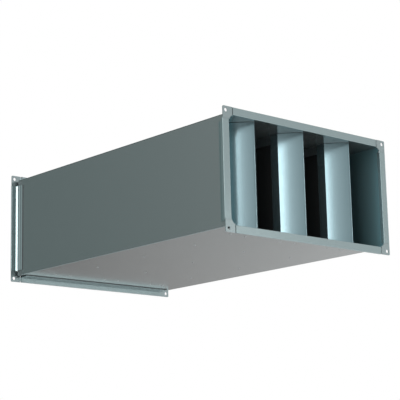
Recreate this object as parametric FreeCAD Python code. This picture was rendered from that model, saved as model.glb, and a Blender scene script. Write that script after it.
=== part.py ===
import FreeCAD, Part
import math
import os

# A rectangular splitter sound attenuator for a ventilation duct, one metre long.
# X runs across the duct, Y along the air flow with the front end at -Y, and Z is up.
# The origin is the bottom centre of the bounding box: the part rests on its lower flange rails.
# All sizes are millimetres.

# Duct and casing
duct_width = 600.0
duct_height = 300.0
length = 1000.0
casing_sheet = 0.8
casing_bend = 1.4
sheet_fit = 0.3
notch_side = 15.0
notch_depths = {"front": 6.0, "rear": 10.0}

# Snap-lock seams along the two upper edges of the casing
seam_width = 12.0
seam_gap = 0.15
seam_setback = 0.6

# Roll-formed flange rails
flange_height = 20.0
side_rail_excess = 1.0
rail_sheet = 1.0
rail_bend = 0.6
rail_hook_depth = 12.0
rail_web_at = 5.5
rail_slope_to = 10.5
rail_bead_at = 12.0
rail_bead_rise = 2.0
rail_bead_crest = 5.0
rail_bead_fall = 5.4
rail_bead_height = 2.4
rail_shelf_run = 4.6
rail_shelf_height = 1.2
rail_tail_at = 37.0

# Pressed corner pieces that slide into the hollow ends of the rails
corner_sheet = 2.0
corner_fit = 0.3
corner_drop = 0.6
corner_leg = 34.0
corner_breadth = 24.5
corner_chamfer = 6.0
corner_level_gap = 2.6
corner_upright_gap = 0.5
corner_radius = 4.0
corner_joggle = 0.6
corner_arm_length = 30.0
corner_arm_inset = 3.0
corner_arm_taper = 2.5
bolt_hole_radius = 5.0
bolt_inset = 11.0

# Splitters: three sound-absorbing walls that stand between floor and ceiling of the duct
splitter_names = ("left", "centre", "right")
splitter_thickness = 100.0
wall_airway = 62.0
nose_sheet = 0.8
nose_tip = 20.0
nose_depth = 50.0
nose_bend = 1.2
nose_leg = 30.0
nose_end_gap = 0.8
channel_sheet = 0.8
channel_lip = 25.0
channel_bend = 1.2
channel_fit = 0.2
channel_setback = 1.5
absorber_fit = 0.2
absorber_crown = 0.8
absorber_clearance = 0.7

# Worked out from the sizes above
half_width = duct_width / 2
half_height = duct_height / 2
half_length = length / 2
axis_z = half_height + flange_height
casing_half_length = half_length - rail_sheet - sheet_fit
rail_hook_line = -sheet_fit - rail_sheet / 2
rail_starts = {"level": corner_leg + corner_level_gap, "upright": corner_leg + corner_upright_gap}
half_splitter = splitter_thickness / 2
splitter_pitch = (duct_width - 2 * wall_airway - splitter_thickness) / (len(splitter_names) - 1)
channel_half = half_splitter - nose_sheet - channel_fit
channel_start = nose_tip + nose_depth + channel_setback

ends = {"front": -1, "rear": 1}
sides = {"left": (-1, 0), "right": (1, 0), "bottom": (0, -1), "top": (0, 1)}


def direction(start, end):
    """Unit direction from one plane point to another."""
    reach = math.hypot(end[0] - start[0], end[1] - start[1])
    return (end[0] - start[0]) / reach, (end[1] - start[1]) / reach


def sheet_face_joints(path, offset):
    """Corners and bends of one face of a folded sheet, offset to the left of its centre line.

    Each point of the path is (a, b, bend radius). A joint is one corner point, or three
    points of an arc: its start, middle and end.
    """
    first = direction(path[0], path[1])
    last = direction(path[-2], path[-1])
    joints = [[(path[0][0] - offset * first[1], path[0][1] + offset * first[0])]]
    for before, bend, after in zip(path, path[1:], path[2:]):
        d1 = direction(before, bend)
        d2 = direction(bend, after)
        n1 = (-d1[1], d1[0])
        n2 = (-d2[1], d2[0])
        if bend[2] == 0:
            mitre = offset / (1 + n1[0] * n2[0] + n1[1] * n2[1])
            joints.append([(bend[0] + mitre * (n1[0] + n2[0]), bend[1] + mitre * (n1[1] + n2[1]))])
            continue
        turn = math.atan2(d1[0] * d2[1] - d1[1] * d2[0], d1[0] * d2[0] + d1[1] * d2[1])
        side = math.copysign(1, turn)
        setback = bend[2] * math.tan(abs(turn) / 2)
        start = (bend[0] - setback * d1[0], bend[1] - setback * d1[1])
        end = (bend[0] + setback * d2[0], bend[1] + setback * d2[1])
        centre = (start[0] + side * bend[2] * n1[0], start[1] + side * bend[2] * n1[1])
        outward = direction(centre, bend)
        radius = bend[2] - side * offset
        joints.append([
            (start[0] + offset * n1[0], start[1] + offset * n1[1]),
            (centre[0] + radius * outward[0], centre[1] + radius * outward[1]),
            (end[0] + offset * n2[0], end[1] + offset * n2[1]),
        ])
    joints.append([(path[-1][0] - offset * last[1], path[-1][1] + offset * last[0])])
    return joints


def prism(joints, place, run):
    """Solid with the closed outline that the joints describe, extruded along run."""
    edges = []
    for joint, following in zip(joints, joints[1:] + joints[:1]):
        points = [place(*point) for point in joint]
        if len(points) == 3:
            edges.append(Part.Arc(*points).toShape())
        target = place(*following[0])
        if points[-1].distanceToPoint(target) > 1e-6:
            edges.append(Part.LineSegment(points[-1], target).toShape())
    return Part.Face(Part.Wire(edges)).extrude(run)


def folded_sheet(path, thickness, place, run):
    """Bent strip of sheet metal that follows the centre line in path."""
    left = sheet_face_joints(path, thickness / 2)
    right = [joint[::-1] for joint in reversed(sheet_face_joints(path, -thickness / 2))]
    return prism(left + right, place, run)


def mirrored(path, middle=()):
    """A path, points on the plane a = 0 and the path's own mirror image across that plane."""
    return [*path, *middle, *((-a, *rest) for a, *rest in reversed(path))]


def splitter_lines():
    """X of the centre line of each splitter, from left to right."""
    middle = (len(splitter_names) - 1) / 2
    return [(number - middle) * splitter_pitch for number in range(len(splitter_names))]


def corner_notches():
    """Boxes that clear the ends of the casing's long edges for the corner pieces."""
    reach = notch_side + flange_height
    boxes = []
    for end, out in ends.items():
        depth = notch_depths[end]
        for x_side in (-1, 1):
            for z_side in (-1, 1):
                x = x_side * (half_width - notch_side)
                z = axis_z + z_side * (half_height - notch_side)
                y = out * (half_length - depth)
                corner = FreeCAD.Vector(
                    min(x, x + x_side * reach), min(y, y + out * depth), min(z, z + z_side * reach)
                )
                boxes.append(Part.makeBox(reach, depth, reach, corner))
    return boxes


def casing_sheet_part(path):
    """Folded casing sheet over the full length, from its centre line in X and height."""
    sheet = folded_sheet(
        path,
        casing_sheet,
        lambda a, b: FreeCAD.Vector(a, -casing_half_length, axis_z + b),
        FreeCAD.Vector(0, 2 * casing_half_length, 0),
    )
    return sheet.cut(corner_notches())


def casing_trough():
    """Floor and both walls in one sheet, with inward flanges that snap into the lid's seams."""
    wall = half_width + casing_sheet / 2
    floor = -half_height - casing_sheet / 2
    flange = half_height + casing_sheet / 2 + 2 * (casing_sheet + seam_gap)
    flange_end = wall - seam_width + 2 * seam_setback
    return casing_sheet_part(mirrored([
        (-flange_end, flange, 0),
        (-wall, flange, casing_bend),
        (-wall, floor, casing_bend),
    ]))


def casing_lid():
    """Ceiling sheet, folded back on itself twice at each side to hold the trough's flange."""
    layer = casing_sheet + seam_gap
    sheet = half_height + casing_sheet / 2
    mouth = half_width - seam_setback
    blind = half_width + casing_sheet / 2 - seam_width
    cover = half_width + casing_sheet
    return casing_sheet_part(mirrored([
        (-cover, sheet + 3 * layer, 0),
        (-blind, sheet + 3 * layer, layer),
        (-blind, sheet + layer, layer),
        (-mouth, sheet + layer, layer / 2),
        (-mouth, sheet, layer / 2),
    ]))


def rail_path(reach):
    """Centre line of the rail's rolled section: (height above the duct wall, depth, bend)."""
    face = rail_sheet / 2
    lip = reach - rail_sheet / 2
    web = rail_sheet + corner_drop + corner_sheet + 2 * corner_fit + rail_sheet / 2
    leg = casing_sheet + sheet_fit + rail_sheet / 2
    bead = leg + rail_bead_height
    bead_start = rail_bead_at + rail_bead_rise
    bead_end = bead_start + rail_bead_crest
    shelf = leg + rail_shelf_height
    shelf_start = bead_end + rail_bead_fall
    return [
        (rail_hook_line, rail_hook_depth, 0),
        (rail_hook_line, face, rail_bend),
        (lip, face, rail_bend),
        (lip, web, rail_bend),
        (rail_web_at, web, rail_bend),
        (leg, rail_slope_to, rail_bend),
        (leg, rail_bead_at, 0),
        (bead, bead_start, 0),
        (bead, bead_end, 0),
        (shelf, shelf_start, 0),
        (shelf, shelf_start + rail_shelf_run, 0),
        (leg, rail_tail_at, 0),
    ]


def flange_rail(side, end):
    """One rail of a flange frame, on one side of the casing's end."""
    out_x, out_z = sides[side]
    reach = flange_height + abs(out_x) * side_rail_excess
    start_inset = rail_starts["upright" if out_x else "level"]
    span = 2 * (half_height if out_x else half_width) + 2 * flange_height - 2 * start_inset
    along = FreeCAD.Vector(abs(out_z), 0, abs(out_x))
    start = along * (-span / 2)

    def place(height, depth):
        return start + FreeCAD.Vector(
            out_x * (half_width + height),
            ends[end] * (half_length - depth),
            axis_z + out_z * (half_height + height),
        )

    return folded_sheet(rail_path(reach), rail_sheet, place, along * span)


def corner_piece(x_side, z_side, end):
    """Pressed corner piece: a flush pad with a bolt hole, and two arms that step back into the rails."""
    out = ends[end]

    def place(a, b, depth=0.0):
        return FreeCAD.Vector(
            x_side * (half_width + flange_height - a),
            out * (half_length - depth),
            axis_z + z_side * (half_height + flange_height - b),
        )

    bevel = corner_radius * (1 - math.sqrt(0.5))
    inner_bevel = corner_breadth + corner_chamfer
    pad = prism(
        [
            [(0, corner_radius), (bevel, bevel), (corner_radius, 0)],
            [(corner_leg, 0)],
            [(corner_leg, corner_breadth)],
            [(inner_bevel, corner_breadth)],
            [(corner_breadth, inner_bevel)],
            [(corner_breadth, corner_leg)],
            [(0, corner_leg)],
        ],
        place,
        FreeCAD.Vector(0, -out * corner_sheet, 0),
    )
    flush = corner_sheet / 2
    sunk = rail_sheet + corner_drop + corner_fit + corner_sheet / 2
    step_angle = math.atan2(sunk - flush, corner_joggle)
    step_at = corner_leg - corner_sheet / 2 * math.tan(step_angle / 2)
    near = rail_sheet + corner_fit + corner_arm_inset
    far = flange_height - near
    cutters = [
        Part.makeCylinder(
            bolt_hole_radius,
            3 * corner_sheet,
            place(bolt_inset, bolt_inset, -corner_sheet),
            FreeCAD.Vector(0, -out, 0),
        )
    ]
    arms = []
    for run, swap in (("level", False), ("upright", True)):
        def place_arm(along, across, depth, swap=swap):
            return place(across, along, depth) if swap else place(along, across, depth)

        tip = rail_starts[run] + corner_arm_length
        arm_path = [
            (corner_leg - 2 * corner_sheet, flush, 0),
            (step_at, flush, 0),
            (step_at + corner_joggle, sunk, 0),
            (tip, sunk, 0),
        ]
        breadth = place_arm(0, far, 0) - place_arm(0, near, 0)
        arms.append(folded_sheet(arm_path, corner_sheet, lambda s, d: place_arm(s, near, d), breadth))
        for edge, inward in ((near, 1), (far, -1)):
            lead_in = [
                [(tip - corner_arm_taper, edge)],
                [(tip + corner_arm_taper, edge + 2 * inward * corner_arm_taper)],
                [(tip + corner_arm_taper, edge - inward * corner_fit)],
                [(tip - corner_arm_taper, edge - inward * corner_fit)],
            ]
            through = FreeCAD.Vector(0, -out * (sunk + corner_sheet), 0)
            cutters.append(prism(lead_in, lambda s, t: place_arm(s, t, 0), through))
    return pad.fuse(arms).removeSplitter().cut(cutters)


def splitter_nose(x_line, end):
    """Nose cap folded from one sheet: two flat cheeks that meet in an edge, and a leg behind each."""
    wall = half_splitter - nose_sheet / 2
    low = axis_z - half_height + nose_end_gap
    side = [(-wall, nose_depth + nose_leg, 0), (-wall, nose_depth, nose_bend)]
    return folded_sheet(
        mirrored(side, [(0, nose_sheet / 2, nose_bend)]),
        nose_sheet,
        lambda a, b: FreeCAD.Vector(x_line + a, ends[end] * (half_length - nose_tip - b), low),
        FreeCAD.Vector(0, 0, duct_height - 2 * nose_end_gap),
    )


def splitter_channel(x_line, z_side):
    """U-shaped channel that holds one long edge of the absorber against the casing."""
    wall = channel_half - channel_sheet / 2
    web = half_height - channel_sheet / 2
    run = 2 * (half_length - channel_start)
    return folded_sheet(
        mirrored([(-wall, half_height - channel_lip, 0), (-wall, web, channel_bend)]),
        channel_sheet,
        lambda a, b: FreeCAD.Vector(x_line + a, -run / 2, axis_z + z_side * b),
        FreeCAD.Vector(0, run, 0),
    )


def splitter_absorber(x_line):
    """Mineral wool slab with a black facing, swelling a little between the channel lips."""
    half = channel_half - channel_sheet - absorber_fit
    top = half_height - channel_sheet - absorber_clearance
    swell = half_height - channel_lip - channel_sheet
    run = 2 * (half_length - channel_start)
    side = [(-half, -swell), (-half - absorber_crown, 0), (-half, swell)]
    outline = [
        [(-half, -top)],
        side,
        [(-half, top)],
        [(half, top)],
        [(-a, b) for a, b in reversed(side)],
        [(half, -top)],
    ]
    return prism(
        outline,
        lambda a, b: FreeCAD.Vector(x_line + a, -run / 2, axis_z + b),
        FreeCAD.Vector(0, run, 0),
    )


def build():
    """Every sub-part of the attenuator by its name."""
    parts = {"casing_trough": casing_trough(), "casing_lid": casing_lid()}
    for end in ends:
        for side in sides:
            parts[f"{end}_rail_{side}"] = flange_rail(side, end)
        for z_name, z_side in (("bottom", -1), ("top", 1)):
            for x_name, x_side in (("left", -1), ("right", 1)):
                parts[f"{end}_corner_{z_name}_{x_name}"] = corner_piece(x_side, z_side, end)
    for name, x_line in zip(splitter_names, splitter_lines()):
        for end in ends:
            parts[f"splitter_{name}_nose_{end}"] = splitter_nose(x_line, end)
        for z_name, z_side in (("bottom", -1), ("top", 1)):
            parts[f"splitter_{name}_channel_{z_name}"] = splitter_channel(x_line, z_side)
        parts[f"splitter_{name}_absorber"] = splitter_absorber(x_line)
    return parts


os.makedirs("parts", exist_ok=True)
for node, shape in build().items():
    shape.exportStep(f"parts/{node}.step")
    print(f"{node}: {len(shape.Solids)} solid, {shape.Volume / 1000:.1f} cm3")
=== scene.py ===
"""Duct sound attenuator: finishes, fasteners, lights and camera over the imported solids.

X runs across the duct, Y along the air flow and Z up, in metres. The front end faces -Y.
"""

import logging
import math
from dataclasses import dataclass
from enum import Enum
from typing import Any

import bmesh
import bpy
from mathutils import Matrix, Vector


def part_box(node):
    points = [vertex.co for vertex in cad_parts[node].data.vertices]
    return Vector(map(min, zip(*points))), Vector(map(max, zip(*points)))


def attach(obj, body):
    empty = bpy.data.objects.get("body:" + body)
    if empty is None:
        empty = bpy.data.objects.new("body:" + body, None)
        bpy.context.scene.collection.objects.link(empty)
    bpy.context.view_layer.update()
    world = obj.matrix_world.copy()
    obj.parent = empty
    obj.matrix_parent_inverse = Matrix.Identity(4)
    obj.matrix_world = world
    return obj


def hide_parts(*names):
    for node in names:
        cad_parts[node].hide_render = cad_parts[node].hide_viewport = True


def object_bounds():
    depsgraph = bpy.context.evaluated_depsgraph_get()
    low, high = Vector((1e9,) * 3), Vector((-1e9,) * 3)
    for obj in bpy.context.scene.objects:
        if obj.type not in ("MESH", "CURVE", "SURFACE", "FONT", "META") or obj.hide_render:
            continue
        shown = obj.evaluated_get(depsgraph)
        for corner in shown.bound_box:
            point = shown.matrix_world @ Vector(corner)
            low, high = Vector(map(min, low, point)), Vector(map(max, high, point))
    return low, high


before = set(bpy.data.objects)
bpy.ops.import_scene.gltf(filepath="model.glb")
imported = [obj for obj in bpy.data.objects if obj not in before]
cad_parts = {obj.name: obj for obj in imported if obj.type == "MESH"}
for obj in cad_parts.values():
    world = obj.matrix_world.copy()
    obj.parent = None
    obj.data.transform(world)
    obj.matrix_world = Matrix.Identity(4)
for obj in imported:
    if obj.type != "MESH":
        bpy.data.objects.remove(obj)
CAD_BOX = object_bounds()
ROOT = "root"
MM = 0.001
CASING_SHEET = 0.8 * MM

Tree = bpy.types.NodeTree
Socket = bpy.types.NodeSocket
Colour = tuple[float, float, float, float]
Input = Socket | Colour | float

log = logging.getLogger("attenuator")


class End(Enum):
    """The two open ends of the casing, with the sign of their Y."""

    FRONT = -1
    REAR = 1


class Side(Enum):
    """The four sides of the casing, with the axis that each lies on and its sign there."""

    LEFT = ("X", -1)
    RIGHT = ("X", 1)
    BOTTOM = ("Z", -1)
    TOP = ("Z", 1)


class Place(Enum):
    """The three splitters, counted across the duct from the middle one."""

    LEFT = -1
    CENTRE = 0
    RIGHT = 1


class Mix(Enum):
    """What a mix node mixes, with the indices of its inputs A and B and of its result."""

    FLOAT = (2, 3, 0)
    RGBA = (6, 7, 2)


WALLS = (Side.LEFT, Side.RIGHT)
LEVELS = (Side.BOTTOM, Side.TOP)


def word(choice: Enum) -> str:
    """The word that stands for a choice in the names of the nodes."""
    return choice.name.lower()


def linear(hex_colour: str) -> Colour:
    """Turns an sRGB hex colour into the linear values that Blender's sockets take.

    Args:
        hex_colour: six hex digits, such as "8d979b".

    Returns:
        Red, green and blue by the standard sRGB curve, and an alpha of 1.
    """
    channels = [int(hex_colour[i:i + 2], 16) / 255 for i in (0, 2, 4)]
    red, green, blue = [c / 12.92 if c <= 0.04045 else ((c + 0.055) / 1.055) ** 2.4 for c in channels]
    return red, green, blue, 1.0


def per_metre(size_mm: float) -> float:
    """Texture scale at which one pattern repeat is size_mm wide."""
    return 1000.0 / size_mm


def add_node(
    tree: Tree,
    kind: str,
    values: dict[str | int, Any] | None = None,
    links: dict[str | int, Socket] | None = None,
    **settings: Any,
) -> bpy.types.Node:
    """Adds one node with its settings, values and incoming links.

    Args:
        tree: the node tree that gets the node.
        kind: Blender's name for the node type.
        values: input socket to the value it holds.
        links: input socket to the output socket that feeds it.
        settings: properties of the node itself.

    Returns:
        The new node.
    """
    node = tree.nodes.new(kind)
    for name, value in settings.items():
        setattr(node, name, value)
    for socket, value in (values or {}).items():
        node.inputs[socket].default_value = value
    for socket, source in (links or {}).items():
        tree.links.new(source, node.inputs[socket])
    return node


def mix(tree: Tree, kind: Mix, share: Input, first: Input, second: Input) -> Socket:
    """Mixes two numbers or two colours.

    Args:
        tree: the node tree that gets the node.
        kind: numbers or colours.
        share: share of the second input. It and both inputs are plain values or output sockets.
        first: what shows where the share is 0.
        second: what shows where the share is 1.

    Returns:
        The mixed value's socket.
    """
    first_input, second_input, result = kind.value
    inputs = {0: share, first_input: first, second_input: second}
    links = {socket: source for socket, source in inputs.items() if isinstance(source, Socket)}
    values = {socket: value for socket, value in inputs.items() if socket not in links}
    return add_node(tree, "ShaderNodeMix", values, links, data_type=kind.name).outputs[result]


def times(tree: Tree, value: Socket, factor: float) -> Socket:
    """Multiplies the value of a socket by a plain number."""
    return add_node(tree, "ShaderNodeMath", {1: factor}, {0: value}, operation="MULTIPLY").outputs[0]


def facing(azimuth: float, elevation: float) -> Vector:
    """Unit direction from the object.

    Args:
        azimuth: degrees round the object, 0 in front and 90 on its left.
        elevation: degrees above the horizon.

    Returns:
        The direction.
    """
    turn, rise = math.radians(azimuth), math.radians(elevation)
    return Vector((-math.sin(turn) * math.cos(rise), -math.cos(turn) * math.cos(rise), math.sin(rise)))


def new_material(name: str) -> tuple[bpy.types.Material, Tree]:
    """Makes an empty node material.

    Args:
        name: the finish it is named for.

    Returns:
        The material and its cleared node tree.
    """
    material = bpy.data.materials.new(name)
    material.use_nodes = True
    material.node_tree.nodes.clear()
    return material, material.node_tree


@dataclass(frozen=True)
class ZincCoat:
    """Zinc-coated steel sheet: a grey metal skin with faint crystals and rolling lines.

    The coating gives a cool, slightly cloudy grey. The rolls leave fine lines along the sheet,
    and thin sheet never lies quite flat, which the eye sees as a slow wave in its shine.

    Args:
        name: name of the finish.
        colour: sRGB hex colour of the coat.
        shade: sRGB hex colour of its darker crystals.
        roughness: mean roughness of the clean coat.
        spread: how far crystals, clouds and lines take the roughness from its mean.
        crystal_mm: width of a zinc crystal.
        cloud_mm: width of the clouds in the coat.
        roll_mm: spacing of the rolling lines, drawn coarser than real ones so that they show.
        roll_scale: scale of the rolling lines along Y, which draws them out fifty times.
        roll_depth_mm: depth of the rolling lines.
        metal: share of bare metal shine; the rest is the coat's dull oxide, which scatters light.
        wave_mm: length of the waves in the thin sheet.
        wave_depth_mm: height of those waves.
        painted_inner_tint: sRGB hex colour of a painted blue-green tint on the inner faces, which stands in
            for the light reflected inside the duct, or none.
        inner_metal: share of bare metal shine on the inner faces.
        inner_roughness: roughness of the inner faces.
    """

    name: str
    colour: str
    shade: str
    roughness: float
    spread: float = 0.015
    crystal_mm: float = 9.0
    cloud_mm: float = 70.0
    roll_mm: float = 1.4
    roll_scale: float = 0.02
    roll_depth_mm: float = 0.002
    metal: float = 0.8
    wave_mm: float = 160.0
    wave_depth_mm: float = 0.05
    painted_inner_tint: str = ""
    inner_metal: float = 0.72
    inner_roughness: float = 0.24

    def inside(self, tree: Tree, place: Socket) -> Socket:
        """Mask that is 1 on the casing's inner faces. Its limits lie halfway through the sheet.

        Args:
            tree: the node tree that gets the nodes.
            place: the object coordinates.

        Returns:
            The mask's socket.
        """
        low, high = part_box("casing_trough")
        middle = (CAD_BOX[0].z + CAD_BOX[1].z) / 2
        limits = {"X": high.x - CASING_SHEET / 2, "Z": middle - low.z - CASING_SHEET / 2}
        away = add_node(
            tree, "ShaderNodeVectorMath", {1: (0.0, 0.0, middle)}, {0: place}, operation="SUBTRACT",
        ).outputs["Vector"]
        reach = add_node(
            tree, "ShaderNodeVectorMath", links={0: away}, operation="ABSOLUTE",
        ).outputs["Vector"]
        axes = add_node(tree, "ShaderNodeSeparateXYZ", links={"Vector": reach}).outputs
        across, upright = [
            add_node(
                tree, "ShaderNodeMath", {1: limit}, {0: axes[axis]}, operation="LESS_THAN",
            ).outputs[0]
            for axis, limit in limits.items()
        ]
        return add_node(
            tree, "ShaderNodeMath", links={0: across, 1: upright}, operation="MULTIPLY",
        ).outputs[0]

    def paint_inner_tint(self, tree: Tree, place: Socket, colour: Socket, roughness: Socket) -> dict[str, Socket]:
        """Lays a painted blue-green tint over the coat on the inner faces, which stands in for the light
        reflected inside the duct.

        Args:
            tree: the node tree that gets the nodes.
            place: the object coordinates.
            colour: colour of the coat.
            roughness: roughness of the coat.

        Returns:
            The shader's inputs that the film changes.
        """
        inside = self.inside(tree, place)
        return {
            "Base Color": mix(tree, Mix.RGBA, inside, colour, linear(self.painted_inner_tint)),
            "Roughness": mix(tree, Mix.FLOAT, inside, roughness, self.inner_roughness),
            "Metallic": mix(tree, Mix.FLOAT, inside, self.metal, self.inner_metal),
        }

    def build(self) -> bpy.types.Material:
        """Builds the node material.

        Returns:
            The finished material.
        """
        material, tree = new_material(self.name)
        place = add_node(tree, "ShaderNodeTexCoord").outputs["Object"]
        rolled = add_node(
            tree, "ShaderNodeMapping", {"Scale": (1.0, self.roll_scale, 1.0)}, {"Vector": place},
        ).outputs["Vector"]
        lines = add_node(
            tree, "ShaderNodeTexNoise",
            {"Scale": per_metre(self.roll_mm), "Detail": 3.0, "Roughness": 0.6}, {"Vector": rolled},
        ).outputs["Fac"]
        crystals = add_node(
            tree, "ShaderNodeTexVoronoi", {"Scale": per_metre(self.crystal_mm)}, {"Vector": place},
        ).outputs["Color"]
        crystal_tone = add_node(
            tree, "ShaderNodeSeparateColor", links={"Color": crystals},
        ).outputs["Red"]
        cloud = add_node(
            tree, "ShaderNodeTexNoise",
            {"Scale": per_metre(self.cloud_mm), "Detail": 4.0, "Roughness": 0.55}, {"Vector": place},
        ).outputs["Fac"]
        # Crystals and clouds show equally, and the lines have a little less say in the shine.
        tone = mix(tree, Mix.FLOAT, 0.5, crystal_tone, cloud)
        matt = mix(tree, Mix.FLOAT, 0.45, tone, lines)
        colour = mix(tree, Mix.RGBA, tone, linear(self.colour), linear(self.shade))
        # Most of the mixed pattern lies between 0.3 and 0.7.
        roughness = add_node(
            tree, "ShaderNodeMapRange",
            {"From Min": 0.3, "From Max": 0.7, "To Min": self.roughness - self.spread,
             "To Max": self.roughness + self.spread},
            {"Value": matt},
        ).outputs["Result"]
        wave = add_node(
            tree, "ShaderNodeTexNoise",
            {"Scale": per_metre(self.wave_mm), "Detail": 1.0}, {"Vector": place},
        ).outputs["Fac"]
        waved = add_node(
            tree, "ShaderNodeBump",
            {"Strength": 1.0, "Distance": self.wave_depth_mm * MM}, {"Height": wave},
        ).outputs["Normal"]
        grained = add_node(
            tree, "ShaderNodeBump",
            {"Strength": 0.5, "Distance": self.roll_depth_mm * MM}, {"Height": lines, "Normal": waved},
        ).outputs["Normal"]
        links = {"Base Color": colour, "Roughness": roughness, "Normal": grained}
        # Inside the duct a painted blue-green tint stands in for the light reflected there.
        if self.painted_inner_tint:
            links.update(self.paint_inner_tint(tree, place, colour, roughness))
        surface = add_node(
            tree, "ShaderNodeBsdfPrincipled", {"Metallic": self.metal}, links,
        ).outputs["BSDF"]
        add_node(tree, "ShaderNodeOutputMaterial", links={"Surface": surface})
        return material


@dataclass(frozen=True)
class GlassTissue:
    """Black glass-fibre tissue that faces the mineral wool: matt, with fine random fibres.

    It takes almost all light, and its fibres catch only a faint grey sheen.

    Args:
        name: name of the finish.
        colour: sRGB hex colour of the tissue.
        fibre_colour: sRGB hex colour of the fibres that catch light.
        fibre_mm: spacing of the fibres, drawn coarser than real ones so that they show.
        fibre_depth_mm: how far the fibres stand out.
        roughness: roughness of the tissue.
    """

    name: str
    colour: str = "070808"
    fibre_colour: str = "181b1c"
    fibre_mm: float = 1.6
    fibre_depth_mm: float = 0.3
    roughness: float = 0.95

    def build(self) -> bpy.types.Material:
        """Builds the node material.

        Returns:
            The finished material.
        """
        material, tree = new_material(self.name)
        place = add_node(tree, "ShaderNodeTexCoord").outputs["Object"]
        fibres = add_node(
            tree, "ShaderNodeTexNoise",
            {"Scale": per_metre(self.fibre_mm), "Detail": 5.0, "Distortion": 1.5}, {"Vector": place},
        ).outputs["Fac"]
        colour = mix(tree, Mix.RGBA, fibres, linear(self.colour), linear(self.fibre_colour))
        bump = add_node(
            tree, "ShaderNodeBump",
            {"Strength": 0.6, "Distance": self.fibre_depth_mm * MM}, {"Height": fibres},
        ).outputs["Normal"]
        surface = add_node(
            tree, "ShaderNodeBsdfPrincipled",
            {"Roughness": self.roughness}, {"Base Color": colour, "Normal": bump},
        ).outputs["BSDF"]
        add_node(tree, "ShaderNodeOutputMaterial", links={"Surface": surface})
        return material


@dataclass(frozen=True)
class GapShadeCoat:
    """Dark satin coat with slow unevenness, as of a paste drawn from a nozzle, for beads that paint the
    shadow line of the gap where the rear rails end.

    Args:
        name: name of the finish.
        colour: sRGB hex colour of the dark bead, which stands in for the gap's shadow.
        shade: sRGB hex colour of its duller spots.
        lump_mm: spacing of the unevenness.
        lump_depth_mm: height of the unevenness.
        roughness: roughness of the bead.
    """

    name: str
    colour: str = "1c2224"
    shade: str = "272d2f"
    lump_mm: float = 6.0
    lump_depth_mm: float = 0.2
    roughness: float = 0.6

    def build(self) -> bpy.types.Material:
        """Builds the node material.

        Returns:
            The finished material.
        """
        material, tree = new_material(self.name)
        place = add_node(tree, "ShaderNodeTexCoord").outputs["Object"]
        lumps = add_node(
            tree, "ShaderNodeTexNoise",
            {"Scale": per_metre(self.lump_mm), "Detail": 2.0}, {"Vector": place},
        ).outputs["Fac"]
        colour = mix(tree, Mix.RGBA, lumps, linear(self.colour), linear(self.shade))
        bump = add_node(
            tree, "ShaderNodeBump",
            {"Strength": 0.4, "Distance": self.lump_depth_mm * MM}, {"Height": lumps},
        ).outputs["Normal"]
        surface = add_node(
            tree, "ShaderNodeBsdfPrincipled",
            {"Roughness": self.roughness}, {"Base Color": colour, "Normal": bump},
        ).outputs["BSDF"]
        add_node(tree, "ShaderNodeOutputMaterial", links={"Surface": surface})
        return material


@dataclass(frozen=True)
class Finishes:
    """Every finish of the attenuator, built once.

    Args:
        lid: sheet of the casing's lid.
        trough: sheet of the casing's trough.
        rail: the flange frames' rails.
        corner: the flange frames' corner pieces.
        nose: the splitters' nose caps.
        channel: the splitters' channels.
        rivet: the blind rivets.
        tissue: facing of the absorbers.
        sealant: the dark beads along the rear rails, which paint the shadow line of the gap there.
    """

    lid: bpy.types.Material
    trough: bpy.types.Material
    rail: bpy.types.Material
    corner: bpy.types.Material
    nose: bpy.types.Material
    channel: bpy.types.Material
    rivet: bpy.types.Material
    tissue: bpy.types.Material
    sealant: bpy.types.Material

    @classmethod
    def make(cls) -> "Finishes":
        """Builds all finishes.

        Returns:
            The finishes.
        """
        return cls(
            # Clean sheet: the eye sees its surroundings in it, as soft pale and grey bands.
            lid=ZincCoat("galvanised_lid_sheet", "939a9a", "909797", 0.19).build(),
            # The same sheet, with a painted blue-green tint on its inner faces that stands in for the light
            # reflected inside the duct.
            trough=ZincCoat("galvanised_trough_sheet", "939a9a", "909797", 0.19, painted_inner_tint="87adb3").build(),
            # Formed by rolls: a little bluer, and its bends draw thin light and dark lines.
            rail=ZincCoat("roll_formed_galvanised_rail", "8e9e9f", "8b9a9c", 0.22).build(),
            # Plated after pressing: small crystals and a softer, more even shine.
            corner=ZincCoat("zinc_plated_pressing", "8f9c9d", "8b989a", 0.25, crystal_mm=5.0).build(),
            # Blue-grey: light fades evenly over each sprung cheek up to the bright fold.
            nose=ZincCoat("galvanised_nose_sheet", "839aa0", "81989e", 0.24).build(),
            # The dullest sheet, which gives back light without clear reflections.
            channel=ZincCoat("galvanised_channel_sheet", "90989a", "8c9496", 0.30).build(),
            # Pale and rough, so that each small head stands out from the sheet as a light dot.
            rivet=ZincCoat("bright_rivet_coat", "bec3c4", "b6bbbd", 0.45, crystal_mm=2.0).build(),
            # Black and matt, so that the absorbers stay dark behind the bright noses.
            tissue=GlassTissue("black_glass_tissue").build(),
            # Dark satin beads, which paint the shadow line of the gap where the rear rails end.
            sealant=GapShadeCoat("dark_grey_sealant").build(),
        )


def finish_mesh(shape: bmesh.types.BMesh, name: str) -> bpy.types.Mesh:
    """Turns faces outwards, makes the borders of smooth faces crisp and frees the BMesh.

    Args:
        shape: the closed shape.
        name: name of the mesh.

    Returns:
        The finished mesh.
    """
    bmesh.ops.recalc_face_normals(shape, faces=shape.faces)
    for edge in shape.edges:
        edge.smooth = all(face.smooth for face in edge.link_faces)
    mesh = bpy.data.meshes.new(name)
    shape.to_mesh(mesh)
    shape.free()
    return mesh


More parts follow.
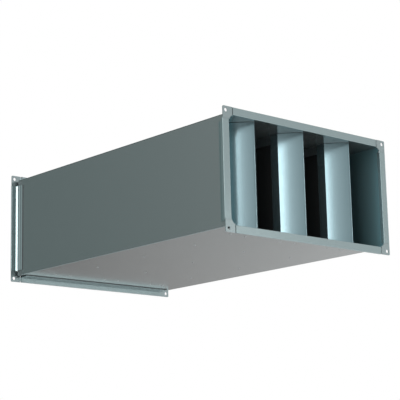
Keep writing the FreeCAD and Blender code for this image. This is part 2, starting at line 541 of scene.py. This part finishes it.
def add_piece(name: str, mesh: bpy.types.Mesh) -> bpy.types.Object:
    """Links a new piece that rides on the attenuator's one body.

    Args:
        name: name of the piece.
        mesh: its mesh, in world coordinates.

    Returns:
        The piece.
    """
    piece = bpy.data.objects.new(name, mesh)
    bpy.context.scene.collection.objects.link(piece)
    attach(piece, ROOT)
    log.info("%s: %d faces", name, len(mesh.polygons))
    return piece


def dress(node: str, material: bpy.types.Material) -> None:
    """Gives a CAD node its finish.

    Args:
        node: name of the CAD node.
        material: the finish it gets.
    """
    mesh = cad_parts[node].data
    mesh.materials.clear()
    mesh.materials.append(material)
    log.info("%s: %s", node, material.name)


@dataclass(frozen=True)
class Casing:
    """The duct-like box: a folded trough and the lid that is seamed onto it."""

    def dress(self, finishes: Finishes) -> None:
        """Finishes both casing sheets."""
        dress("casing_trough", finishes.trough)
        dress("casing_lid", finishes.lid)


@dataclass(frozen=True)
class FlangeFrame:
    """Four rolled rails joined by four pressed corner pieces at one end.

    Args:
        end: the end of the casing that the frame closes.
    """

    end: End

    def dress(self, finishes: Finishes) -> None:
        """Finishes the rails and the corner pieces.

        Args:
            finishes: the finishes to choose from.
        """
        for side in Side:
            dress(f"{word(self.end)}_rail_{word(side)}", finishes.rail)
        for level in LEVELS:
            for wall in WALLS:
                dress(f"{word(self.end)}_corner_{word(level)}_{word(wall)}", finishes.corner)


@dataclass(frozen=True)
class GapShadeBeads:
    """Dark beads along each rail's edge, where the rail ends on the casing, which paint the shadow line of
    the gap there.

    Args:
        ends: the flange frames that get the painted shadow line; the front shows no dark line.
        rail_depth: distance of the rail's inner edge from the open end.
        height: height of the bead.
        width: width of the bead on the casing.
        section: points of the bead's section, as shares of its height and of its width.
    """

    ends: tuple[End, ...] = (End.REAR,)
    rail_depth: float = 37.0 * MM
    height: float = 1.6 * MM
    width: float = 1.8 * MM
    section: tuple[tuple[float, float], ...] = (
        (0.0, -0.4), (1.0, -0.4), (1.0, 0.1), (0.75, 0.55), (0.4, 0.85), (0.0, 1.0),
    )

    def draw(self, shape: bmesh.types.BMesh, end: End, side: Side) -> None:
        """Draws the bead of one rail, as long as the rail.

        Args:
            shape: the shape that gets the bead.
            end: the end of the casing that the rail is on.
            side: the side of the casing that the rail is on.
        """
        low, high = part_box(f"{word(end)}_rail_{word(side)}")
        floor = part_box("splitter_left_channel_bottom")[0].z
        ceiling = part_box("splitter_left_channel_top")[1].z
        middle = (floor + ceiling) / 2
        axis, sign = side.value
        if axis == "Z":
            inner, span = ceiling - middle, (low.x, high.x)
        else:
            inner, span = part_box("casing_trough")[1].x - CASING_SHEET, (low.z, high.z)
        rings = []
        for along in span:
            ring = []
            for rise, back in self.section:
                out = sign * (inner + CASING_SHEET + rise * self.height)
                depth = end.value * (CAD_BOX[1].y - self.rail_depth - back * self.width)
                point = (along, depth, middle + out) if axis == "Z" else (out, depth, along)
                ring.append(shape.verts.new(point))
            rings.append(ring)
        for number, (a, b) in enumerate(zip(*rings)):
            after = (number + 1) % len(self.section)
            shape.faces.new((a, b, rings[1][after], rings[0][after]))
        shape.faces.new(rings[0])
        shape.faces.new(rings[1][::-1])

    def build(self, finishes: Finishes) -> None:
        """Draws the beads as one piece.

        Args:
            finishes: the finishes to take the beads' dark coat from.
        """
        shape = bmesh.new()
        for end in self.ends:
            for side in Side:
                self.draw(shape, end, side)
        mesh = finish_mesh(shape, "rail_sealant_beads")
        mesh.materials.append(finishes.sealant)
        add_piece("rail_sealant_beads", mesh)


@dataclass(frozen=True)
class NoseCap:
    """Folded nose of a splitter. Its thin cheeks spring out slightly, so their shine turns smoothly.

    Args:
        splitter: which splitter it belongs to.
        end: the end of the casing that it faces.
        sheet: thickness of the sheet.
        cheek: depth of the slanted cheeks along the air flow.
        spring: how far the middle of a cheek stands out from a straight line.
        steps: number of flat strips that stand for the curve of one cheek.
        fold: outer radius of the fold at the tip, which catches a thin line of light.
        fold_steps: number of flat strips in each half of the fold.
    """

    splitter: Place
    end: End
    sheet: float = 0.8 * MM
    cheek: float = 50.0 * MM
    spring: float = 1.9 * MM
    steps: int = 12
    fold: float = 3.4 * MM
    fold_steps: int = 3

    def outline(self, half: float, reach: float) -> list[tuple[float, float]]:
        """Outer face of one half of the cap, from the end of its leg to the tip.

        Args:
            half: half the thickness of the splitter.
            reach: distance of the leg's end from the tip.

        Returns:
            Points as distances from the splitter's middle plane and from the tip.
        """
        points = [(half, reach)]
        for step in range(self.steps):
            share = 1 - step / self.steps
            # A parabola over the cheek. The cheek lies at 45 degrees, so its swelling goes
            # equally far sideways and forwards.
            bulge = self.spring * 4 * share * (1 - share) / math.sqrt(2)
            points.append((half * share + bulge, self.cheek * share - bulge))
        # Angle between the air flow and the parabola where that reaches the tip.
        swell = self.spring * 4 / math.sqrt(2)
        slant = math.atan2(half + swell, self.cheek - swell)
        # An arc that touches the lines of both cheeks rounds the tip off.
        for step in range(self.fold_steps + 1):
            turn = (math.pi / 2 - slant) * (1 - step / self.fold_steps)
            depth = self.fold / math.sin(slant) - self.fold * math.cos(turn)
            points.append((self.fold * math.sin(turn), depth))
        return points

    def profile(self, low: Vector, high: Vector) -> list[tuple[Vector, Vector]]:
        """Points of the outer face from leg to leg, each with its point on the inner face.

        Args:
            low: lower corner of the CAD node's box.
            high: upper corner of the CAD node's box.

        Returns:
            Pairs of an outer and an inner point, at height 0.
        """
        middle, half = (low.x + high.x) / 2, (high.x - low.x) / 2
        inward = -self.end.value
        tip = low.y if self.end is End.FRONT else high.y
        leg = high.y if self.end is End.FRONT else low.y
        outline = self.outline(half, abs(leg - tip))
        pairs = []
        for number, (across, depth) in enumerate(outline):
            before, after = outline[max(number - 1, 0)], outline[min(number + 1, len(outline) - 1)]
            along = Vector((after[0] - before[0], after[1] - before[1])).normalized()
            # At the tip the sheet runs straight across to the other half.
            if number == len(outline) - 1:
                along = Vector((-1.0, 0.0))
            inner = (across + self.sheet * along.y, depth - self.sheet * along.x)
            pairs.append(((across, depth), inner))
        # The mirrored half up to the tip, then this half back from beside the tip.
        full = [((-a[0], a[1]), (-b[0], b[1])) for a, b in pairs] + pairs[-2::-1]
        return [
            tuple(Vector((middle + across, tip + inward * depth, 0)) for across, depth in pair)
            for pair in full
        ]

    def build(self, finishes: Finishes) -> None:
        """Builds the cap in place of its CAD node.

        Args:
            finishes: the finishes to take the sheet from.
        """
        node = f"splitter_{word(self.splitter)}_nose_{word(self.end)}"
        low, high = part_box(node)
        shape = bmesh.new()
        # Each ring holds the outer point at the bottom and at the top, then both inner points.
        rings = [
            [shape.verts.new(point + Vector((0, 0, z))) for point in (outer, inner) for z in (low.z, high.z)]
            for outer, inner in self.profile(low, high)
        ]
        for number, ((a, b, c, d), (e, f, g, h)) in enumerate(zip(rings, rings[1:])):
            shape.faces.new((a, e, f, b)).smooth = 0 < number < len(rings) - 2
            for corners in ((c, d, h, g), (a, c, g, e), (b, f, h, d)):
                shape.faces.new(corners)
        for a, b, c, d in (rings[0], rings[-1]):
            shape.faces.new((a, b, d, c))
        mesh = finish_mesh(shape, f"{node}_sheet")
        mesh.materials.append(finishes.nose)
        piece = add_piece(f"{node}_sheet", mesh)
        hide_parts(node)


@dataclass(frozen=True)
class Splitter:
    """One sound-absorbing wall with its nose caps, channels and absorber.

    Args:
        place: which of the splitters it is.
    """

    place: Place

    def dress(self, finishes: Finishes) -> None:
        """Builds the nose caps and finishes the other pieces of the splitter.

        Args:
            finishes: the finishes to choose from.
        """
        for end in End:
            NoseCap(self.place, end).build(finishes)
        for level in LEVELS:
            dress(f"splitter_{word(self.place)}_channel_{word(level)}", finishes.channel)
        dress(f"splitter_{word(self.place)}_absorber", finishes.tissue)


@dataclass(frozen=True)
class ChannelRivets:
    """Blind rivets that hold the splitter channels to the floor and the lid of the casing.

    Args:
        head_radius: radius of a rivet's head.
        head_height: height of the head above the sheet.
        bore_radius: radius of the hollow that the broken pin leaves.
        facets: number of flat strips round a head.
        middle_rows: number of rows between the end rows, with one rivet over each splitter.
        row_spacing: distance between those rows along the casing.
        end_row: distance of the end rows from the casing's middle.
        end_spread: half the distance between the two rivets of an end row.
        seed: seed of each rivet's turn.
    """

    head_radius: float = 3.2 * MM
    head_height: float = 1.1 * MM
    bore_radius: float = 1.1 * MM
    facets: int = 20
    middle_rows: int = 3
    row_spacing: float = 225.0 * MM
    end_row: float = 403.0 * MM
    end_spread: float = 27.0 * MM
    seed: int = 4

    def head(self) -> bpy.types.Object:
        """Makes one domed head that stands on Z = 0, with the hollow of its broken pin.

        Returns:
            An object that isn't linked to the scene.
        """
        # Radius and height of each ring, from the rim over the dome into the hollow.
        outline = [
            (self.head_radius, 0.0),
            (self.head_radius, self.head_height * 0.3),
            (self.head_radius * 0.8, self.head_height * 0.8),
            (self.bore_radius * 1.5, self.head_height),
            (self.bore_radius, self.head_height * 0.95),
            (self.bore_radius, self.head_height * 0.35),
        ]
        turns = [step * math.tau / self.facets for step in range(self.facets)]
        shape = bmesh.new()
        rings = [
            [shape.verts.new((radius * math.cos(turn), radius * math.sin(turn), height)) for turn in turns]
            for radius, height in outline
        ]
        for below, above in zip(rings, rings[1:]):
            for step in range(self.facets):
                after = (step + 1) % self.facets
                shape.faces.new((below[step], below[after], above[after], above[step])).smooth = True
        shape.faces.new(rings[-1])
        shape.faces.new(rings[0][::-1])
        return bpy.data.objects.new("rivet_head", finish_mesh(shape, "rivet_head"))

    @staticmethod
    def rows(tree: Tree, count: int, width: Socket, reach: Socket, shift: Socket | None = None) -> Socket:
        """Sets points in rows across the duct, one over each splitter.

        Args:
            tree: the node group that gets the nodes.
            count: number of rows.
            width: distance between the outer points of a row.
            reach: distance between the first and the last row.
            shift: how far all rows are moved along X, if at all.

        Returns:
            The points.
        """
        grid = add_node(
            tree, "GeometryNodeMeshGrid", {"Vertices X": len(Place), "Vertices Y": count},
            {"Size X": width, "Size Y": reach},
        ).outputs["Mesh"]
        if shift is None:
            return grid
        offset = add_node(tree, "ShaderNodeCombineXYZ", links={"X": shift}).outputs["Vector"]
        return add_node(
            tree, "GeometryNodeTransform", links={"Geometry": grid, "Translation": offset},
        ).outputs["Geometry"]

    def tree(self) -> Tree:
        """Geometry nodes that set rivet heads in rows on the floor and on the lid.

        Returns:
            The node group, with one named input for each distance.
        """
        tree = bpy.data.node_groups.new("channel_rivets", "GeometryNodeTree")
        tree.interface.new_socket("Geometry", in_out="OUTPUT", socket_type="NodeSocketGeometry")
        for name, kind in (
            ("Head", "NodeSocketObject"), ("Finish", "NodeSocketMaterial"), ("Seed", "NodeSocketInt"),
            ("Line pitch", "NodeSocketFloat"), ("Row spacing", "NodeSocketFloat"),
            ("End row", "NodeSocketFloat"), ("End spread", "NodeSocketFloat"),
            ("Floor height", "NodeSocketFloat"), ("Lid height", "NodeSocketFloat"),
        ):
            tree.interface.new_socket(name, in_out="INPUT", socket_type=kind)
        inputs = add_node(tree, "NodeGroupInput").outputs
        width = times(tree, inputs["Line pitch"], len(Place) - 1)
        middle_reach = times(tree, inputs["Row spacing"], self.middle_rows - 1)
        # An end row stands at each end, with a rivet on either side of every splitter's middle.
        end_reach = times(tree, inputs["End row"], 2.0)
        other_side = times(tree, inputs["End spread"], -1.0)
        places = add_node(tree, "GeometryNodeJoinGeometry")
        for points in (
            self.rows(tree, self.middle_rows, width, middle_reach),
            self.rows(tree, len(End), width, end_reach, inputs["End spread"]),
            self.rows(tree, len(End), width, end_reach, other_side),
        ):
            tree.links.new(points, places.inputs["Geometry"])
        head = add_node(
            tree, "GeometryNodeObjectInfo", links={"Object": inputs["Head"]},
        ).outputs["Geometry"]
        turn = add_node(
            tree, "FunctionNodeRandomValue", {"Max": (0.0, 0.0, math.tau)}, {"Seed": inputs["Seed"]},
            data_type="FLOAT_VECTOR",
        ).outputs["Value"]
        heads = add_node(
            tree, "GeometryNodeInstanceOnPoints",
            links={"Points": places.outputs["Geometry"], "Instance": head, "Rotation": turn},
        ).outputs["Instances"]
        both = add_node(tree, "GeometryNodeJoinGeometry")
        for height, tilt in (("Floor height", math.pi), ("Lid height", 0.0)):
            lift = add_node(tree, "ShaderNodeCombineXYZ", links={"Z": inputs[height]}).outputs["Vector"]
            face = add_node(
                tree, "GeometryNodeTransform", {"Rotation": (0.0, tilt, 0.0)},
                {"Geometry": heads, "Translation": lift},
            ).outputs["Geometry"]
            tree.links.new(face, both.inputs["Geometry"])
        real = add_node(
            tree, "GeometryNodeRealizeInstances", links={"Geometry": both.outputs["Geometry"]},
        ).outputs["Geometry"]
        finished = add_node(
            tree, "GeometryNodeSetMaterial", links={"Geometry": real, "Material": inputs["Finish"]},
        ).outputs["Geometry"]
        add_node(tree, "NodeGroupOutput", links={"Geometry": finished})
        return tree

    def build(self, finishes: Finishes) -> None:
        """Sets the rivets over the channels and makes them one plain mesh.

        Args:
            finishes: the finishes to take the rivets' coat from.
        """
        left, centre = [
            sum(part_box(f"splitter_{word(place)}_absorber"), Vector()).x / 2
            for place in (Place.LEFT, Place.CENTRE)
        ]
        values = {
            "Head": self.head(),
            "Finish": finishes.rivet,
            "Seed": self.seed,
            "Line pitch": centre - left,
            "Row spacing": self.row_spacing,
            "End row": self.end_row,
            "End spread": self.end_spread,
            "Floor height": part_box("casing_trough")[0].z,
            "Lid height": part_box("splitter_left_channel_top")[1].z + CASING_SHEET,
        }
        host = bpy.data.objects.new("channel_rivets_host", bpy.data.meshes.new("channel_rivets_host"))
        bpy.context.scene.collection.objects.link(host)
        modifier = host.modifiers.new("rivets", "NODES")
        modifier.node_group = self.tree()
        for socket in modifier.node_group.interface.items_tree:
            if socket.in_out == "INPUT":
                modifier[socket.identifier] = values[socket.name]
        graph = bpy.context.evaluated_depsgraph_get()
        mesh = bpy.data.meshes.new_from_object(host.evaluated_get(graph))
        mesh.name = "channel_rivets"
        bpy.data.objects.remove(host)
        bpy.data.objects.remove(values["Head"])
        add_piece("channel_rivets", mesh)


@dataclass(frozen=True)
class Lamp:
    """One soft rectangular lamp that points at the object's middle.

    Args:
        name: what the lamp does.
        azimuth: degrees round the object, 0 in front and 90 on its left.
        elevation: degrees above the horizon.
        distance: metres from the object's middle.
        size: width and height in metres.
        power: watts.
    """

    name: str
    azimuth: float
    elevation: float
    distance: float
    size: tuple[float, float]
    power: float

    def build(self, target: Vector) -> None:
        """Makes the lamp.

        Args:
            target: the point that the lamp faces.
        """
        back = facing(self.azimuth, self.elevation)
        data = bpy.data.lights.new(self.name, "AREA")
        data.shape = "RECTANGLE"
        data.size, data.size_y = self.size
        data.energy = self.power
        lamp = bpy.data.objects.new(self.name, data)
        lamp.location = target + back * self.distance
        lamp.rotation_euler = (-back).to_track_quat("-Z", "Y").to_euler()
        bpy.context.scene.collection.objects.link(lamp)
        log.info("lamp %s: %.1f W", self.name, self.power)


@dataclass(frozen=True)
class Dusk:
    """A grey patch of the surroundings, so that bright sheet has something darker to mirror.

    Args:
        azimuth: degrees round the object, 0 in front and 90 on its left.
        elevation: degrees above the horizon.
        colour: sRGB hex colour of the patch above the horizon.
        low_colour: the same below the horizon, where the floor warms it.
        start: cosine to the patch's middle at which the grey starts.
        full: cosine at which it is full.
        blend: sine of the height over which the two colours blend.
    """

    azimuth: float
    elevation: float
    colour: str
    low_colour: str
    start: float
    full: float
    blend: float = 0.15

    def lay(self, tree: Tree, direction: Socket, sky: Socket | Colour) -> Socket:
        """Lays the patch over the surroundings.

        Args:
            tree: the world's node tree.
            direction: the direction that is looked in.
            sky: the colour of the surroundings so far.

        Returns:
            The colour with the patch in it.
        """
        nearness = add_node(
            tree, "ShaderNodeVectorMath",
            {1: facing(self.azimuth, self.elevation)}, {0: direction}, operation="DOT_PRODUCT",
        ).outputs["Value"]
        share = add_node(
            tree, "ShaderNodeMapRange", {"From Min": self.start, "From Max": self.full},
            {"Value": nearness}, interpolation_type="SMOOTHSTEP",
        ).outputs["Result"]
        height = add_node(
            tree, "ShaderNodeSeparateXYZ", links={"Vector": direction},
        ).outputs["Z"]
        rise = add_node(
            tree, "ShaderNodeMapRange", {"From Min": -self.blend, "From Max": self.blend},
            {"Value": height}, interpolation_type="SMOOTHSTEP",
        ).outputs["Result"]
        grey = mix(tree, Mix.RGBA, rise, linear(self.low_colour), linear(self.colour))
        return mix(tree, Mix.RGBA, share, sky, grey)


@dataclass(frozen=True)
class Studio:
    """Pale floor, white surroundings, soft lamps and the camera at the photo's viewing angle.

    Args:
        floor_drop: how far the floor lies below the object, which the photo shows from underneath.
        floor_size: side of the square floor.
        floor_colour: sRGB hex colour of the floor.
        floor_roughness: lowest and highest roughness of the floor.
        floor_cloud_mm: width of the clouds in the floor's roughness.
        ambient: strength of the surroundings on matt surfaces.
        dusks: grey patches of the surroundings, which only reflections show.
        eye: camera position.
        heading: camera heading from +Y towards +X, in degrees.
        tilt: camera tilt above the horizon, in degrees.
        roll: camera roll, in degrees.
        lens: focal length in millimetres.
        sensor: width of the camera's sensor in millimetres.
        sight: how far the camera sees, in metres.
        lamps: the lamps.
    """

    floor_drop: float = 1.2
    floor_size: float = 7.0
    floor_colour: str = "e6e8e9"
    floor_roughness: tuple[float, float] = (0.8, 0.95)
    floor_cloud_mm: float = 400.0
    ambient: float = 0.45
    dusks: tuple[Dusk, ...] = (
        Dusk(176.0, 0.0, "748a8a", "605a58", start=0.42, full=0.89),
        Dusk(18.0, 12.0, "c2c6c6", "c2c6c6", start=0.90, full=1.0),
    )
    eye: tuple[float, float, float] = (-2.6472, -3.0369, -0.6592)
    heading: float = 41.4484
    tilt: float = 12.1977
    roll: float = -1.2978
    lens: float = 122.08
    sensor: float = 36.0
    sight: float = 100.0
    lamps: tuple[Lamp, ...] = (
        Lamp("key", 69.0, 12.0, 9.0, (6.0, 4.8), 400.0),
        Lamp("low", -46.0, -12.0, 3.0, (2.0, 1.0), 9.0),
        Lamp("rail", -26.0, 2.0, 3.0, (0.9, 0.5), 1.9),
        Lamp("edge", -75.0, 12.0, 4.0, (0.8, 2.0), 30.0),
        Lamp("top", 0.0, 85.0, 3.0, (3.0, 3.0), 80.0),
    )

    def camera(self) -> None:
        """Sets up the camera."""
        data = bpy.data.cameras.new("camera")
        data.lens = self.lens
        data.sensor_width = self.sensor
        data.clip_end = self.sight
        camera = bpy.data.objects.new("camera", data)
        camera.matrix_world = (
            Matrix.Translation(self.eye)
            @ Matrix.Rotation(math.radians(-self.heading), 4, "Z")
            @ Matrix.Rotation(math.radians(90.0 + self.tilt), 4, "X")
            @ Matrix.Rotation(math.radians(self.roll), 4, "Z")
        )
        bpy.context.scene.collection.objects.link(camera)
        bpy.context.scene.camera = camera

    def world(self) -> None:
        """White surroundings for the camera and for reflections, dimmer on matt surfaces."""
        world = bpy.data.worlds.new("studio")
        world.use_nodes = True
        tree = world.node_tree
        tree.nodes.clear()
        path = add_node(tree, "ShaderNodeLightPath").outputs
        seen = add_node(
            tree, "ShaderNodeMath", links={0: path["Is Camera Ray"], 1: path["Is Glossy Ray"]},
            operation="MAXIMUM",
        ).outputs[0]
        shown = add_node(
            tree, "ShaderNodeMath", links={0: seen, 1: path["Is Transmission Ray"]}, operation="MAXIMUM",
        ).outputs[0]
        strength = add_node(
            tree, "ShaderNodeMapRange", {"To Min": self.ambient, "To Max": 1.0}, {"Value": shown},
        ).outputs["Result"]
        direction = add_node(tree, "ShaderNodeTexCoord").outputs["Generated"]
        white = linear("ffffff")
        sky = white
        for dusk in self.dusks:
            sky = dusk.lay(tree, direction, sky)
        colour = mix(tree, Mix.RGBA, path["Is Camera Ray"], sky, white)
        light = add_node(
            tree, "ShaderNodeBackground", links={"Color": colour, "Strength": strength},
        ).outputs["Background"]
        add_node(tree, "ShaderNodeOutputWorld", links={"Surface": light})
        bpy.context.scene.world = world

    def floor(self) -> None:
        """Pale matt floor below the object, which doesn't show from underneath."""
        material, tree = new_material("pale_matt_floor")
        place = add_node(tree, "ShaderNodeTexCoord").outputs["Object"]
        cloud = add_node(
            tree, "ShaderNodeTexNoise",
            {"Scale": per_metre(self.floor_cloud_mm), "Detail": 3.0}, {"Vector": place},
        ).outputs["Fac"]
        smooth, rough = self.floor_roughness
        roughness = add_node(
            tree, "ShaderNodeMapRange", {"To Min": smooth, "To Max": rough}, {"Value": cloud},
        ).outputs["Result"]
        matt = add_node(
            tree, "ShaderNodeBsdfPrincipled",
            {"Base Color": linear(self.floor_colour)}, {"Roughness": roughness},
        ).outputs["BSDF"]
        clear = add_node(tree, "ShaderNodeBsdfTransparent").outputs["BSDF"]
        behind = add_node(tree, "ShaderNodeNewGeometry").outputs["Backfacing"]
        surface = add_node(
            tree, "ShaderNodeMixShader", links={0: behind, 1: matt, 2: clear},
        ).outputs["Shader"]
        add_node(tree, "ShaderNodeOutputMaterial", links={"Surface": surface})
        half, height = self.floor_size / 2, CAD_BOX[0].z - self.floor_drop
        corners = [(x * half, y * half, height) for x, y in ((-1, -1), (1, -1), (1, 1), (-1, 1))]
        mesh = bpy.data.meshes.new("floor")
        mesh.from_pydata(corners, [], [(0, 1, 2, 3)])
        mesh.materials.append(material)
        floor = bpy.data.objects.new("floor", mesh)
        bpy.context.scene.collection.objects.link(floor)

    def build(self) -> None:
        """Builds the whole studio."""
        self.camera()
        self.world()
        self.floor()
        middle = (CAD_BOX[0] + CAD_BOX[1]) / 2
        for lamp in self.lamps:
            lamp.build(middle)
        bpy.context.scene.view_settings.view_transform = "Standard"


def main() -> None:
    """Builds the scene in order."""
    logging.basicConfig(level=logging.INFO, format="%(message)s")
    finishes = Finishes.make()
    Casing().dress(finishes)
    for end in End:
        FlangeFrame(end).dress(finishes)
    for place in Place:
        Splitter(place).dress(finishes)
    ChannelRivets().build(finishes)
    # Dark beads paint the shadow line of the gap where the rear rails end.
    GapShadeBeads().build(finishes)
    Studio().build()


if __name__ == "__main__":
    main()
